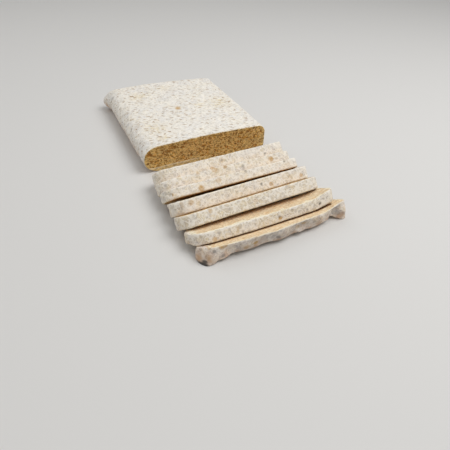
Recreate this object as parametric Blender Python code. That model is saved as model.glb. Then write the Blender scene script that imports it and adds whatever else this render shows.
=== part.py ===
"""A tempeh cake, partly sliced.

The block that is left of the cake lies at the back. Six slices have fallen forward off it
like books on a shelf, each one leaning on the slice before it. The heel of the cake lies
at the very front with its cut face up. Every slice is a solid of its own and nothing
joins them.

X runs along the cuts, Y from the heel towards the block, and Z is up. The sizes below
are in millimetres and degrees, and MM turns lengths into metres.
"""
import math

import bmesh
import bpy
from mathutils import Matrix, Vector, noise

MM = 0.001

# The cake's cross-section: a bulging left side and a squarer right one
CAKE_HEIGHT = 29.6
LEFT_BULGE = 17.5
RIGHT_TOP_RADIUS = 7.0
RIGHT_FOOT_RADIUS = 5.0
CROWN_DROP = 1.2            # the top lies this much lower along its right edge
ARC_STEPS = 9               # segments in each quarter turn of the left side
FLAT_STEPS = 16             # segments along the top, and along the underside
TOP_STEPS = 4               # segments round the right side's upper corner
FOOT_STEPS = 3              # round its lower corner, and up the flat between them
RIND_RELIEF = 0.35          # unevenness of the rind, each way
RELIEF_LENGTH = 14.0        # and the distance from one swelling to the next
FLAT_FOOT = 1.0             # the lowest part of a section keeps flat, to stand on

# The block, from its cut face back to its moulded end
BLOCK_WIDTH = 140.6
BLOCK_LENGTH_LEFT = 167.0
BLOCK_LENGTH_RIGHT = 158.0
CUT_SKEW = 4.0              # the cut face comes this much further forward at its right end
LEFT_FLARE = -8.0           # how much further out its left side lies at the moulded end
RIGHT_FLARE = 5.4           # and its right side
BLOCK_TOP_RADIUS = 10.5     # its right upper edge
BLOCK_DROP = 0.4
BLOCK_DOME = 1.3            # its top stands this much higher along its middle
END_TOP_RADIUS = 20.0
END_FOOT_RADIUS = 6.0
END_LEFT_RADIUS = 10.0      # the end's two upright corners
END_RIGHT_RADIUS = 9.0
END_REACH = 20.0            # all of the end's rounding lies within this distance
CORNER_OUT = 4.5            # the far left corner is drawn out this much by the bag's corner,
CORNER_LENGTH = 22.0        # over this length,
CORNER_WIDTH = 40.0         # and is thinner over this width
CORNER_SINK = 0.22          # by this share
END_STEPS = 9
STRAIGHT_STEPS = 12

# The slices, from the front to the back:
# thickness, height, width, tilt above the board, turn about Z, shift along X
SLICES = {
    "slice_6": (9.6, 27.5, 140.8, 28.0, -1.5, -5.9),
    "slice_5": (11.0, 29.6, 140.0, 39.5, 0.2, -8.1),
    "slice_4": (11.6, 29.6, 140.5, 40.0, 0.0, -6.5),
    "slice_3": (9.0, 29.6, 140.5, 46.0, -1.1, -6.0),
    "slice_2": (9.6, 29.6, 139.5, 46.0, -0.7, -5.5),
    "slice_1": (11.6, 29.6, 139.0, 46.0, -0.3, -3.3),
}
FRONT_FOOT = -108.1         # where slice_6 stands, measured from the block's cut face
TOUCH_GAP = 0.35            # clearance between pieces that touch
TURN_REACH = 52.0           # turned slices touch this far from their middle
SAG = 1.8                   # slice_6 hangs by this much along the middle of its top edge,
CURL = 3.6                  # its right end curls up by this much
CURL_REACH = (45.0, 72.0)   # between these distances from its middle,
CURL_THICKER = 0.27         # and is thicker by this share

# The heel, which is the moulded front end of the cake, lying under slice_6
HEEL_WIDTH = 146.0
HEEL_SHIFT = -3.4
HEEL_DEPTH = 28.0           # across its cut face
HEEL_BULGE = 16.0           # roundness of its left side
HEEL_REACH = 15.7           # how far its cut face comes out in front of slice_6
HEEL_BOW = 8.3              # and the cut face's ends stay this much behind its middle
EDGE_DENTS = [(22, 20.0, 3.0), (-18, 22.0, 1.0), (60, 12.0, 1.0)]  # along, reach, how deep
HEEL_ARCH = 4.2             # its front wall is hollow by this much between its corners
HEEL_TUCK = 1.0             # the wall draws back by this much on the way down to the board
LEFT_SPREAD = 8.3           # but comes forward by this much at its full left corner
RIGHT_SPREAD = 3.5          # and by this much at the right one
HEEL_LEAN = 2.8             # its foot lies this much further to the right
HEEL_FLARE = 1.5            # and its corners spread by this much to each side
LEFT_CORNER = (0.57, 1.0)   # the full corners begin and are at their fullest at these shares
RIGHT_CORNER = (0.74, 0.96)  # of the half width
LEFT_END = (52.0, 73.0)     # distances from the middle between which the ends take shape
RIGHT_END = (50.0, 73.0)
LEFT_TUCK = 3.6             # at the cut the left end is this much shorter than on the board
RIGHT_PUSH = 2.0            # and the right end this much longer,
RIGHT_BACK = 2.2            # and further back
TUCK_POWER = 1.5            # a higher power keeps the wall straight until further down
HEEL_RINGS = 5

RIND_COLOUR = (0.78, 0.72, 0.64)
CUT_COLOUR = (0.72, 0.48, 0.24)
DULLNESS = 0.8
SHARP_EDGE = 40.0           # faces that meet at more than this angle keep a crisp edge


def make_material(name, colour):
    """A dull finish for one piece."""
    material = bpy.data.materials.new(name)
    material.use_nodes = True
    shader = material.node_tree.nodes["Principled BSDF"]
    shader.inputs["Base Color"].default_value = (*colour, 1.0)
    shader.inputs["Roughness"].default_value = DULLNESS
    shader.inputs["Metallic"].default_value = 0.0
    return material


def arc(centre_x, centre_z, radius_x, radius_z, start, end, steps):
    """Points along an elliptic arc, without its first one."""
    points = []
    for step in range(1, steps + 1):
        angle = math.radians(start + (end - start) * step / steps)
        x = centre_x + radius_x * math.cos(angle)
        z = centre_z + radius_z * math.sin(angle)
        points.append(Vector((x, z)))
    return points


def line(start, end, steps):
    """Points along a straight stretch, without its first one."""
    return [Vector(start).lerp(Vector(end), step / steps) for step in range(1, steps + 1)]


def section(left, right, height, left_bulge=LEFT_BULGE, right_radius=RIGHT_TOP_RADIUS,
            drop=CROWN_DROP, dome=0.0):
    """The cake's outline, as (x, height) points: down the left side, along the underside,
    up the right side and back along the top."""
    middle = height / 2
    bulge = left_bulge * height / CAKE_HEIGHT
    top_right = height - drop * height / CAKE_HEIGHT
    top_radius = min(right_radius, top_right / 2)
    foot_radius = min(RIGHT_FOOT_RADIUS, top_right / 2)
    outline = arc(left + bulge, middle, bulge, middle, 90, 270, 2 * ARC_STEPS)
    outline += line(outline[-1], (right - foot_radius, 0.0), FLAT_STEPS)
    outline += arc(right - foot_radius, foot_radius, foot_radius, foot_radius, -90, 0,
                   FOOT_STEPS)
    outline += line(outline[-1], (right, top_right - top_radius), FOOT_STEPS)
    outline += arc(right - top_radius, top_right - top_radius, top_radius, top_radius, 0, 90,
                   TOP_STEPS)
    top = line(outline[-1], (left + bulge, height), FLAT_STEPS)
    for step, point in enumerate(top, start=1):
        point.y += dome * math.sin(math.pi * step / FLAT_STEPS)
    return outline + top


def swell(outline, depth, seed):
    """Push an outline in and out a little, except along the face that it stands on."""
    swollen = []
    for index, point in enumerate(outline):
        along = outline[(index + 1) % len(outline)] - outline[index - 1]
        outward = Vector((-along.y, along.x)).normalized() * -1.0
        sample = Vector((point.x, point.y + seed, depth)) / RELIEF_LENGTH
        lift = RIND_RELIEF * noise.noise(sample) if point.y > FLAT_FOOT else 0.0
        swollen.append(point + outward * lift)
    return swollen


def close_end(build, ring):
    """Close a ring with narrow strips between its top and its underside."""
    count = len(ring)
    leftmost = ARC_STEPS - 1
    for step in range(count // 2):
        above = (leftmost - step) % count
        below = leftmost + step
        strip = (above, above - 1, (below + 1) % count, below)
        build.faces.new([ring[index] for index in dict.fromkeys(i % count for i in strip)])


def make_solid(name, rings, material):
    """Join closed rings of points into one solid, closed at both ends."""
    build = bmesh.new()
    rows = [[build.verts.new(Vector(point) * MM) for point in ring] for ring in rings]
    count = len(rows[0])
    for near, far in zip(rows, rows[1:]):
        for index in range(count):
            after = (index + 1) % count
            build.faces.new((near[index], near[after], far[after], far[index]))
    close_end(build, rows[0])
    close_end(build, rows[-1])
    bmesh.ops.recalc_face_normals(build, faces=build.faces)
    mesh = bpy.data.meshes.new(name)
    build.to_mesh(mesh)
    build.free()
    mesh.materials.append(material)
    mesh.shade_smooth()
    mesh.set_sharp_from_angle(angle=math.radians(SHARP_EDGE))
    piece = bpy.data.objects.new(name, mesh)
    bpy.context.collection.objects.link(piece)
    return piece


def rounded_in(distance, radius):
    """How far a rounded end has drawn in at this distance before its tip."""
    reach = max(0.0, 1.0 - distance / radius)
    return radius * (1.0 - math.sqrt(1.0 - reach * reach))


def eased(value, start, end):
    """0 up to the start, 1 from the end on, and a smooth rise between them."""
    share = min(1.0, max(0.0, (value - start) / (end - start)))
    return share * share * (3.0 - 2.0 * share)


def block_distances():
    """Distances of the block's rings from its tip: close together round the end, then even."""
    distances = []
    for step in range(END_STEPS):
        angle = math.radians(90.0 * step / END_STEPS)
        distances.append(END_REACH * (1.0 - math.cos(angle)))
    straight = BLOCK_LENGTH_LEFT - END_REACH
    for step in range(STRAIGHT_STEPS + 1):
        distances.append(END_REACH + straight * step / STRAIGHT_STEPS)
    return distances


def make_block(material):
    """The part of the cake that is still whole."""
    half = BLOCK_WIDTH / 2
    rings = []
    for distance in block_distances():
        along = 1.0 - distance / BLOCK_LENGTH_LEFT
        base = rounded_in(distance, END_FOOT_RADIUS)
        top = CAKE_HEIGHT - rounded_in(distance, END_TOP_RADIUS)
        drawn = 1.0 - eased(distance, 0.0, CORNER_LENGTH)
        left = -half - LEFT_FLARE * along + rounded_in(distance, END_LEFT_RADIUS)
        left -= CORNER_OUT * drawn
        right = half + RIGHT_FLARE * along - rounded_in(distance, END_RIGHT_RADIUS)
        outline = section(left, right, top - base, right_radius=BLOCK_TOP_RADIUS,
                          drop=BLOCK_DROP, dome=BLOCK_DOME)
        ring = []
        for point in swell(outline, distance, 0.0):
            side = point.x / BLOCK_WIDTH + 0.5
            length = BLOCK_LENGTH_LEFT + (BLOCK_LENGTH_RIGHT - BLOCK_LENGTH_LEFT) * side
            y = CUT_SKEW * (0.5 - side) + length * along
            sunk = CORNER_SINK * drawn * max(0.0, 1.0 - (point.x - left) / CORNER_WIDTH)
            ring.append((point.x, y, base + point.y * (1.0 - min(1.0, sunk))))
        rings.append(ring)
    return make_solid("block", rings, material)


def leaning_frame(foot, tilt, turn, shift):
    """Matrix from a slice's own axes (along it, up it, through it) to the cake's."""
    tilt = math.radians(tilt)
    up = Vector((0.0, -math.cos(tilt), math.sin(tilt)))
    through = Vector((0.0, math.sin(tilt), math.cos(tilt)))
    axes = Matrix((Vector((1.0, 0.0, 0.0)), up, through)).transposed().to_4x4()
    place = Matrix.Translation((shift, foot, 0.0))
    return place @ Matrix.Rotation(math.radians(turn), 4, "Z") @ axes


def hang(x, width, up):
    """How far slice_6, and the heel under it, hang down between their ends; their right
    ends curl up instead."""
    share = up / SLICES["slice_6"][1]
    middle = 1.0 - min(1.0, abs(2.0 * x / width)) ** 2
    return SAG * middle * share - CURL * eased(x, *CURL_REACH) * (0.15 + 0.85 * share)


def make_slice(name, foot, material):
    """One slice, standing on its lower front edge and leaning forward."""
    thickness, height, width, tilt, turn, shift = SLICES[name]
    frame = leaning_frame(foot, tilt, turn, shift)
    rings = []
    for through in (0.0, thickness / 2, thickness):
        ring = []
        for point in swell(section(-width / 2, width / 2, height), through, foot):
            curled = eased(point.x, *CURL_REACH) if name == "slice_6" else 0.0
            deep = through * (1.0 + CURL_THICKER * curled)
            place = frame @ Vector((point.x, point.y, deep))
            if name == "slice_6":
                place.z -= hang(point.x, width, point.y)
            ring.append(place)
        rings.append(ring)
    return make_solid(name, rings, material)


def next_foot(foot, name, behind):
    """Where the slice behind stands when it leans on this one's lower back edge."""
    thickness, height, width, tilt, turn, shift = SLICES[name]
    next_tilt, next_turn = SLICES[behind][3:5]
    edge_y = foot + thickness * math.sin(math.radians(tilt))
    edge_z = thickness * math.cos(math.radians(tilt))
    slope = math.radians(next_tilt)
    clearance = TOUCH_GAP / math.sin(slope) + TURN_REACH * math.radians(abs(next_turn - turn))
    return edge_y + edge_z / math.tan(slope) + clearance


def make_heel(material):
    """The end of the cake: a slanting cut face above, the moulded rind on the board."""
    height, width, tilt, turn = SLICES["slice_6"][1:5]
    frame = leaning_frame(FRONT_FOOT, tilt, turn, HEEL_SHIFT)
    lowest = height + HEEL_REACH - HEEL_DEPTH
    outline = section(-HEEL_WIDTH / 2, HEEL_WIDTH / 2, HEEL_DEPTH, HEEL_BULGE)
    rings = [[] for step in range(HEEL_RINGS)]
    for point in outline:
        side = min(1.0, abs(2.0 * point.x / HEEL_WIDTH))
        front = point.y / HEEL_DEPTH
        left_end, right_end = eased(-point.x, *LEFT_END), eased(point.x, *RIGHT_END)
        dent = sum(deep * math.exp(-((point.x - along) / reach) ** 2)
                   for along, reach, deep in EDGE_DENTS)
        up = lowest + point.y - (side ** 2 * HEEL_BOW + dent) * front
        up -= RIGHT_BACK * right_end
        on_cut = frame @ Vector((point.x, up, -TOUCH_GAP))
        on_cut.z -= hang(point.x, HEEL_WIDTH, up)
        if point.x < 0.0:
            full, spread = eased(side, *LEFT_CORNER), LEFT_SPREAD
        else:
            full, spread = eased(side, *RIGHT_CORNER), RIGHT_SPREAD
        forward = (spread * full - HEEL_TUCK * (1.0 - full)) * front + RIGHT_BACK * right_end
        outward = HEEL_LEAN + math.copysign(HEEL_FLARE * full, point.x)
        raised = HEEL_ARCH * (1.0 - full) * front
        for step, ring in enumerate(rings):
            down = step / (HEEL_RINGS - 1)
            slide = down ** TUCK_POWER
            push = 1.0 - 1.3 * down + 0.7 * math.sin(math.pi * down)
            ring.append((
                on_cut.x + outward * slide + (1.0 - down) * LEFT_TUCK * left_end
                + push * RIGHT_PUSH * right_end,
                on_cut.y - forward * slide,
                on_cut.z + (raised - on_cut.z) * down))
    return make_solid("heel", rings, material)


def centre_on_board(pieces):
    """Move all pieces so that the origin is under the middle of the cake, on the board."""
    corners = [piece.matrix_world @ vertex.co for piece in pieces for vertex in piece.data.vertices]
    low = [min(corner[axis] for corner in corners) for axis in range(3)]
    high = [max(corner[axis] for corner in corners) for axis in range(3)]
    shift = Vector(((low[0] + high[0]) / 2, (low[1] + high[1]) / 2, low[2]))
    for piece in pieces:
        piece.data.transform(Matrix.Translation(-shift))


def build():
    """Make the block, the slices and the heel."""
    for item in list(bpy.data.objects):
        bpy.data.objects.remove(item, do_unlink=True)
    pieces = [make_block(make_material("block_rind", RIND_COLOUR))]
    foot = FRONT_FOOT
    names = list(SLICES)
    for name, behind in zip(names, names[1:] + [None]):
        pieces.append(make_slice(name, foot, make_material(name + "_cut", CUT_COLOUR)))
        if behind:
            foot = next_foot(foot, name, behind)
    pieces.append(make_heel(make_material("heel_rind", RIND_COLOUR)))
    centre_on_board(pieces)


build()
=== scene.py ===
import math

import bpy
import numpy as np
from mathutils import Matrix, Vector


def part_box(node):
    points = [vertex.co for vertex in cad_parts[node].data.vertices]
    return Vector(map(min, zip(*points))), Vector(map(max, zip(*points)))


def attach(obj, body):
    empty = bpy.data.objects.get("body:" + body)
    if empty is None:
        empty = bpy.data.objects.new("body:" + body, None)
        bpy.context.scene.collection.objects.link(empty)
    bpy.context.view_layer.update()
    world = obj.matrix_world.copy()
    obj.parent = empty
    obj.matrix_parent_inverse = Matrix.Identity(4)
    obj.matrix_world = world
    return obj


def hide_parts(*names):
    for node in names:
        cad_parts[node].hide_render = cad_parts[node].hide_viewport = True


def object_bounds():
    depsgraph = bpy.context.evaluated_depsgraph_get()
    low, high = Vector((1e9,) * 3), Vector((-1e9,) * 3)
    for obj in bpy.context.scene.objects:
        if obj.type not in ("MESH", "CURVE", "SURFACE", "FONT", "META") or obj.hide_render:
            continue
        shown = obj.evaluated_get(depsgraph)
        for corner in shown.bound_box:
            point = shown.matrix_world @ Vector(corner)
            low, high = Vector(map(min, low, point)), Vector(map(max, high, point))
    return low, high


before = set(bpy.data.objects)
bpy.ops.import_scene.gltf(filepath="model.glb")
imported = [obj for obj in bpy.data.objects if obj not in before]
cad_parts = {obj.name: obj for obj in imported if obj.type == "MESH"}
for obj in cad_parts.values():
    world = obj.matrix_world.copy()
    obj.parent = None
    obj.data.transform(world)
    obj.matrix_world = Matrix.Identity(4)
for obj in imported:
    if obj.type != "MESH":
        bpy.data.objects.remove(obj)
cad_low, cad_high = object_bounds()

# ----------------------------------------------------------
# The block: the whole part of the cake. Soya beans grown together by a white felt of mould
# in a flat bag, so it has a thin pale rind all over and a moulded, rounded far end. The near
# end is a fresh knife cut that shows the golden crumb.

MM = 0.001                  # sizes are in millimetres here, and in metres in the frame
CAKE_HEIGHT = 29.6
LEFT_BULGE = 17.5           # the cake's left side is a full round, its right side is squarer
TOP_RADIUS = 7.0
FOOT_RADIUS = 5.0
CROWN_DROP = 1.2            # the top is this much lower along its right edge
BLOCK_WIDTH = 140.6
BLOCK_LENGTH_LEFT = 167.0
BLOCK_LENGTH_RIGHT = 158.0
BLOCK_TOP_RADIUS = 10.5
BLOCK_DROP = 0.4
BLOCK_DOME = 1.3            # its top stands this much higher along its middle
CUT_SKEW = 4.0              # the cut comes this much further forward at its right end
LEFT_FLARE = -8.0           # how much further out the left side lies at the far end
RIGHT_FLARE = 5.4
END_LEFT_RADIUS = 10.0
END_RIGHT_RADIUS = 9.0
END_TOP_RADIUS = 20.0
END_FOOT_RADIUS = 6.0
END_REACH = 20.0            # all of the end's rounding lies within this distance
CORNER_OUT = 4.5            # the bag's corner drew the far left corner out this much,
CORNER_LENGTH = 22.0        # over this length,
CORNER_WIDTH = 40.0         # and thinner over this width,
CORNER_SINK = 0.10          # by this share at most
CREASE_PLACE = 28.0         # a crease of the bag runs down the left side, this far from the
CREASE_WIDTH = 3.0          # end, and is this wide to each side and this deep
CREASE_DEPTH = 1.4
BLOCK_SPACING = 1.15        # distance between the mesh's points
EDGE_EASE = 0.3             # a knife leaves the rind's edge this much rounded


class Number:
    """A number on its way through a node tree, so that a sum can be written as a sum."""

    def __init__(self, tree, socket):
        self.tree = tree
        self.socket = socket

    def __add__(self, other):
        return calc(self.tree, "ADD", self, other)

    def __sub__(self, other):
        return calc(self.tree, "SUBTRACT", self, other)

    def __rsub__(self, other):
        return calc(self.tree, "SUBTRACT", other, self)

    def __mul__(self, other):
        return calc(self.tree, "MULTIPLY", self, other)

    def __truediv__(self, other):
        return calc(self.tree, "DIVIDE", self, other)

    __radd__ = __add__
    __rmul__ = __mul__


def feed(tree, socket, value):
    """Give a socket a value, or link it to the number or socket that brings one."""
    value = value.socket if isinstance(value, Number) else value
    if isinstance(value, bpy.types.NodeSocket):
        tree.links.new(value, socket)
    elif socket.type == "RGBA":
        socket.default_value = (*value, 1.0)
    else:
        socket.default_value = value


def calc(tree, operation, *values):
    """One step of arithmetic."""
    node = tree.nodes.new("ShaderNodeMath")
    node.operation = operation
    for socket, value in zip(node.inputs, values):
        feed(tree, socket, value)
    return Number(tree, node.outputs[0])


def limit(number, low, high):
    """Keep a number between two others."""
    return calc(number.tree, "MINIMUM", calc(number.tree, "MAXIMUM", number, low), high)


def ramp(number, start, end, low=0.0, high=1.0):
    """Ease from low to high while a number goes from start to end."""
    node = number.tree.nodes.new("ShaderNodeMapRange")
    node.interpolation_type = "SMOOTHSTEP"
    for name, value in zip(("Value", "From Min", "From Max", "To Min", "To Max"),
                           (number, start, end, low, high)):
        feed(number.tree, node.inputs[name], value)
    return Number(number.tree, node.outputs[0])


def vector_step(tree, operation, *values):
    """One step of arithmetic on vectors. SCALE takes a number as its second value."""
    node = tree.nodes.new("ShaderNodeVectorMath")
    node.operation = operation
    sockets = node.inputs
    if operation == "SCALE":
        sockets = (node.inputs[0], node.inputs["Scale"])
    for socket, value in zip(sockets, values):
        feed(tree, socket, value)
    return node.outputs[0]


def scaled(tree, vector, factors):
    """A vector, each part multiplied."""
    return vector_step(tree, "MULTIPLY", vector, factors)


def joined(tree, x, y, z):
    """Three numbers as one vector."""
    node = tree.nodes.new("ShaderNodeCombineXYZ")
    for socket, value in zip(node.inputs, (x, y, z)):
        feed(tree, socket, value)
    return node.outputs[0]


def parts_of(tree, vector):
    """A vector as its three numbers."""
    node = tree.nodes.new("ShaderNodeSeparateXYZ")
    feed(tree, node.inputs[0], vector)
    return [Number(tree, socket) for socket in node.outputs]


def floats(*names):
    """Sockets that bring a number each."""
    return dict.fromkeys(names, "Float")


def new_tree(name, kind, inputs, outputs):
    """A node group with named sockets: itself, what its inputs bring, and its last node."""
    tree = bpy.data.node_groups.new(name, kind)
    for direction, sockets in (("INPUT", inputs), ("OUTPUT", outputs)):
        for socket_name, socket_type in sockets.items():
            tree.interface.new_socket(name=socket_name, in_out=direction,
                                      socket_type="NodeSocket" + socket_type)
    given = dict(tree.nodes.new("NodeGroupInput").outputs.items())
    for socket_name, socket_type in inputs.items():
        if socket_type == "Float":
            given[socket_name] = Number(tree, given[socket_name])
    return tree, given, tree.nodes.new("NodeGroupOutput")


def section_place(u, v, left, right, height, top_radius=TOP_RADIUS, drop=CROWN_DROP,
                  dome=0.0):
    """Bend a point of a square, u and v from -1 to 1, into the cake's cross-section."""
    tree = u.tree

    def root(number):
        return calc(tree, "SQRT", 1.0 - number * number * 0.5)

    half_height = height / 2.0
    half_width = (right - left) / 2.0
    bulge = height * (LEFT_BULGE / CAKE_HEIGHT)
    raw = (left + right) / 2.0 + u * half_width
    bulge_start = left + bulge
    inward = limit((raw - bulge_start) / bulge, -1.0, 0.0)
    is_top = calc(tree, "GREATER_THAN", v, 0.0)
    radius = FOOT_RADIUS + is_top * (top_radius - FOOT_RADIUS)
    radius = calc(tree, "MINIMUM", radius, half_height * 0.98)
    upright = calc(tree, "ABSOLUTE", v)
    across = limit((raw - (right - radius)) / radius, 0.0, 1.0)
    over = limit((upright * half_height - (half_height - radius)) / radius, 0.0, 1.0)
    x = raw + bulge * inward * (root(v) - 1.0) + radius * across * (root(over) - 1.0)
    rise = v * half_height * root(inward)
    rise = rise + calc(tree, "SIGN", v) * radius * over * (root(across) - 1.0)
    z = half_height + rise
    crown = limit((x - bulge_start) / (right - top_radius - bulge_start), 0.0, 1.0)
    hump = calc(tree, "SINE", crown * math.pi) * (z / height) * dome
    return x, z - crown * z * (drop / CAKE_HEIGHT) + hump


def cube_of_points(tree, counts):
    """A cube's skin with rows of points, and their places across it, up it, through it."""
    cube = tree.nodes.new("GeometryNodeMeshCube")
    cube.inputs["Size"].default_value = (2.0, 2.0, 1.0)
    for axis, count in zip("XYZ", counts):
        feed(tree, cube.inputs["Vertices " + axis], count)
    u, v, w = parts_of(tree, tree.nodes.new("GeometryNodeInputPosition").outputs[0])
    return cube.outputs["Mesh"], u, v, w + 0.5


def keep_value(tree, geometry, name, kind, value):
    """Keep a value on the mesh's points, for the materials and the next steps."""
    node = tree.nodes.new("GeometryNodeStoreNamedAttribute")
    node.data_type = kind
    node.inputs["Name"].default_value = name
    tree.links.new(geometry, node.inputs["Geometry"])
    feed(tree, node.inputs["Value"], value)
    return node.outputs[0]


def kept_value(tree, name, kind):
    """A value that an earlier step kept on the mesh's points."""
    node = tree.nodes.new("GeometryNodeInputNamedAttribute")
    node.data_type = kind
    node.inputs["Name"].default_value = name
    return node.outputs["Attribute"]


def set_places(tree, geometry, **places):
    """Move the mesh's points to a Position, or by an Offset."""
    node = tree.nodes.new("GeometryNodeSetPosition")
    tree.links.new(geometry, node.inputs["Geometry"])
    for name, place in places.items():
        tree.links.new(place, node.inputs[name])
    return node.outputs[0]


def end_tree(tree, geometry, material, outgoing):
    """Real mesh and its material, at a tree's end."""
    real = tree.nodes.new("GeometryNodeRealizeInstances")
    finish = tree.nodes.new("GeometryNodeSetMaterial")
    tree.links.new(geometry, real.inputs[0])
    tree.links.new(real.outputs[0], finish.inputs["Geometry"])
    tree.links.new(material, finish.inputs["Material"])
    tree.links.new(finish.outputs[0], outgoing.inputs[0])


def rounded_in(distance, radius):
    """How far a rounded end has drawn in at this distance before its tip."""
    reach = limit(1.0 - distance / radius, 0.0, 1.0)
    return (1.0 - calc(distance.tree, "SQRT", 1.0 - reach * reach)) * radius


def block_tree():
    """The block from its cut to its moulded end."""
    tree, given, outgoing = new_tree(
        "block of tempeh", "GeometryNodeTree",
        floats("Width", "Height", "Left Length", "Right Length", "Place X", "Place Y",
               "Spacing") | {"Material": "Material"}, {"Geometry": "Geometry"})
    width, height, left_length, spacing = (
        given[name] for name in ("Width", "Height", "Left Length", "Spacing"))
    straight = left_length - END_REACH
    arc = END_REACH * math.pi / 2
    mesh, u, v, w = cube_of_points(
        tree, (width / spacing, height / spacing, (straight + arc) / spacing))
    travelled = w * (straight + arc)
    bent = limit((travelled - straight) / END_REACH, 0.0, math.pi / 2)
    distance = (1.0 - calc(tree, "SINE", bent)) * END_REACH
    distance = distance + calc(tree, "MAXIMUM", straight - travelled, 0.0)
    along = 1.0 - distance / left_length
    half = width / 2.0
    base = rounded_in(distance, END_FOOT_RADIUS)
    top = height - rounded_in(distance, END_TOP_RADIUS)
    drawn = ramp(distance, CORNER_LENGTH, 0.0)
    crease = ramp(calc(tree, "ABSOLUTE", distance - CREASE_PLACE), CREASE_WIDTH, 0.0)
    left = rounded_in(distance, END_LEFT_RADIUS) - half - along * LEFT_FLARE
    left = left - drawn * CORNER_OUT + crease * CREASE_DEPTH
    right = half + along * RIGHT_FLARE - rounded_in(distance, END_RIGHT_RADIUS)
    at_cut = calc(tree, "LESS_THAN", w, 0.001)
    ease = at_cut * EDGE_EASE
    x, z = section_place(u, v, left + ease, right - ease, top - base - ease,
                         BLOCK_TOP_RADIUS, BLOCK_DROP, BLOCK_DOME)
    z = z - z * drawn * limit(1.0 - (x - left) / CORNER_WIDTH, 0.0, 1.0) * CORNER_SINK
    side = x / width + 0.5
    length = left_length + side * (given["Right Length"] - left_length)
    y = (0.5 - side) * CUT_SKEW + length * along
    from_top = (1.0 - calc(tree, "ABSOLUTE", v)) * height / 2.0
    from_side = (1.0 - calc(tree, "ABSOLUTE", u)) * width / 2.0
    depth = calc(tree, "MINIMUM", from_top, from_side) * at_cut
    mesh = keep_value(tree, mesh, "depth", "FLOAT", depth)
    mesh = keep_value(tree, mesh, "own_place", "FLOAT_VECTOR", joined(tree, x, z + base, y))
    place = joined(tree, (x + given["Place X"]) * MM, (y + given["Place Y"]) * MM,
                   (z + base) * MM)
    mesh = set_places(tree, mesh, Position=place)
    end_tree(tree, mesh, given["Material"], outgoing)
    return tree


def texture(tree, kind, place, size):
    """A texture of soft noise or of cells of about this size."""
    node = tree.nodes.new("ShaderNodeTex" + kind)
    tree.links.new(place, node.inputs["Vector"])
    node.inputs["Scale"].default_value = 1.0 / size
    return node


def noise_at(tree, place, size, detail=2.0, roughness=0.5):
    """Soft noise whose swellings are about this size, from 0 to 1."""
    node = texture(tree, "Noise", place, size)
    node.inputs["Detail"].default_value = detail
    node.inputs["Roughness"].default_value = roughness
    return Number(tree, node.outputs[0])


def patches(tree, place, size, start, end, detail=2.0, roughness=0.5):
    """Places where a soft noise of this size is high."""
    return ramp(noise_at(tree, place, size, detail, roughness), start, end)


def cells_at(tree, place, size):
    """The distance from the nearest cell's middle, and the cell's own chance values."""
    node = texture(tree, "Voronoi", place, size)
    return Number(tree, node.outputs["Distance"]), parts_of(tree, node.outputs["Color"])


def blobs(cells, chance, outside, inside, never, always):
    """Blobs round cells' middles, soft between two distances. This one of a cell's chance
    values decides whether it has one."""
    middle, chances = cells
    return ramp(middle, outside, inside) * ramp(chances[chance], never, always)


BEAN_SPACING = 8.5
GRAIN_SIZE = 3.4            # a crumb that the knife left standing on the cut
PIT_SIZE = 3.0
SWELL_SIZE = 14.0
FUZZ_SIZE = 2.4
LUMP_SIZE = 9.0             # the bag's folds left lumps on the left end,
LUMP_REACH = (-50.0, -66.0)     # between these
CUT_DEPTH = (0.2, 1.4)      # the rind's shape turns into the crumb's at this depth


def skin_tree():
    """The unevenness of the surface: swellings and beans under the rind, crumbs on a cut."""
    tree, given, outgoing = new_tree(
        "skin of tempeh", "GeometryNodeTree",
        {"Geometry": "Geometry"}
        | floats("Swell", "Bean Rise", "Fuzz", "Crumb Depth", "End Lumps")
        | {"Material": "Material"}, {"Geometry": "Geometry"})
    position = tree.nodes.new("GeometryNodeInputPosition").outputs[0]
    place = scaled(tree, position, (1 / MM,) * 3)
    cut = ramp(Number(tree, kept_value(tree, "depth", "FLOAT")), *CUT_DEPTH)
    own_x = parts_of(tree, kept_value(tree, "own_place", "FLOAT_VECTOR"))[0]
    lumps = noise_at(tree, place, LUMP_SIZE) - 0.5
    lumps = lumps * ramp(own_x, *LUMP_REACH) * given["End Lumps"] * 2.0
    bean = blobs(cells_at(tree, place, BEAN_SPACING), 0, 0.55, 0.1, 0.3, 0.8)
    swell = (noise_at(tree, place, SWELL_SIZE, 1.0) - 0.5) * given["Swell"] * 2.0
    fuzz = (noise_at(tree, place, FUZZ_SIZE) - 0.5) * given["Fuzz"]
    rind = swell + lumps + bean * given["Bean Rise"] + fuzz
    grain, chances = cells_at(tree, place, GRAIN_SIZE)
    pits = patches(tree, place, PIT_SIZE, 0.5, 0.68)
    crumb = (grain * 0.5 + chances[1] * 0.5 + pits) * given["Crumb Depth"] * -1.0
    lift = rind + cut * (crumb - rind)
    normal = tree.nodes.new("GeometryNodeInputNormal").outputs[0]
    mesh = set_places(tree, given["Geometry"],
                      Offset=vector_step(tree, "SCALE", normal, lift * MM))
    x, y, z = parts_of(tree, position)
    grounded = joined(tree, x, y, calc(tree, "MAXIMUM", z, 0.0))
    mesh = set_places(tree, mesh, Position=grounded)
    end_tree(tree, mesh, given["Material"], outgoing)
    return tree


def mixed(tree, factor, first, second):
    """A colour between two others."""
    node = tree.nodes.new("ShaderNodeMix")
    node.data_type = "RGBA"
    feed(tree, node.inputs["Factor"], factor)
    feed(tree, node.inputs[6], first)
    feed(tree, node.inputs[7], second)
    return node.outputs[2]


def layered(tree, colour, layers):
    """Colours laid over a first one in turn: how strongly each shows, and the colour."""
    for strength, next_colour in layers:
        colour = mixed(tree, strength, colour, next_colour)
    return colour


def shaded(tree, colour, factor):
    """A colour made darker or lighter as a whole."""
    return vector_step(tree, "SCALE", colour, factor)


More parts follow.
